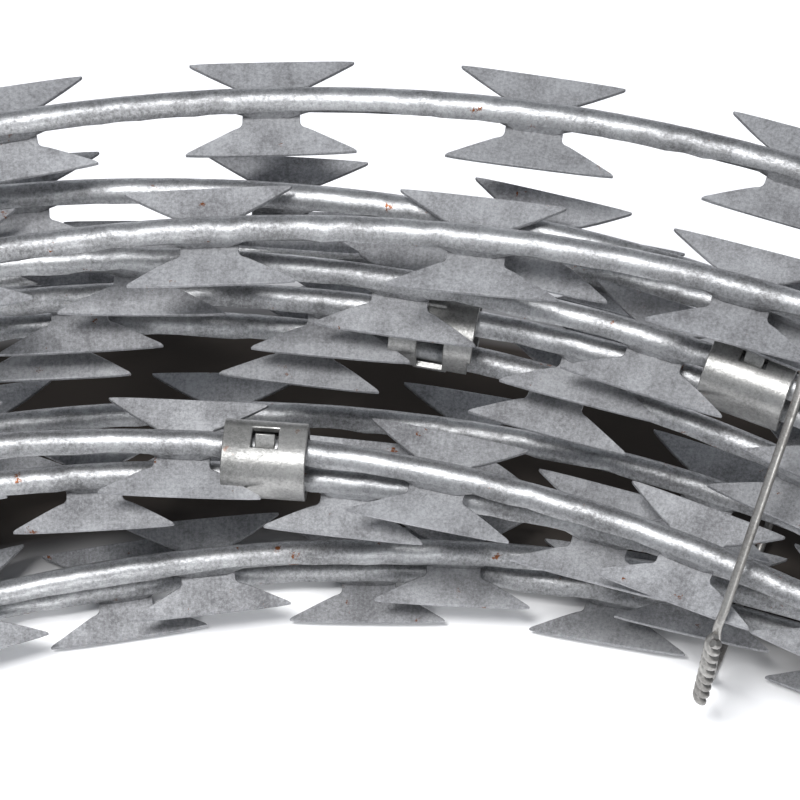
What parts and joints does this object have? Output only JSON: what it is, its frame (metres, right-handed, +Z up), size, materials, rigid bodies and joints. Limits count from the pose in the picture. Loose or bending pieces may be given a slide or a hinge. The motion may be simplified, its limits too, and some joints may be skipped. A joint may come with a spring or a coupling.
{
  "type": "concertina razor wire coil",
  "caption": "Closed coil of galvanised concertina razor tape, its barbed turns clipped together and tied with wire, lying flat.",
  "frame": {"origin": "on the coil's axis at the floor it lies on, midway across the coil", "axes": "+Z up along the coil's axis, +Y towards the side that the picture shows, +X to the picture's right"},
  "size_m": [0.4268, 0.4338, 0.0611],
  "materials": {
    "galvanised_tape": "mottled galvanised",
    "core_steel": "galvanised",
    "clip_steel": "galvanised",
    "tie_steel": "dull galvanised"
  },
  "bodies": {
    "root": {"razor_tape": "galvanised_tape", "core_wire": "core_steel", "clips": "clip_steel", "tie_wires": "tie_steel"}
  },
  "joints": []
}
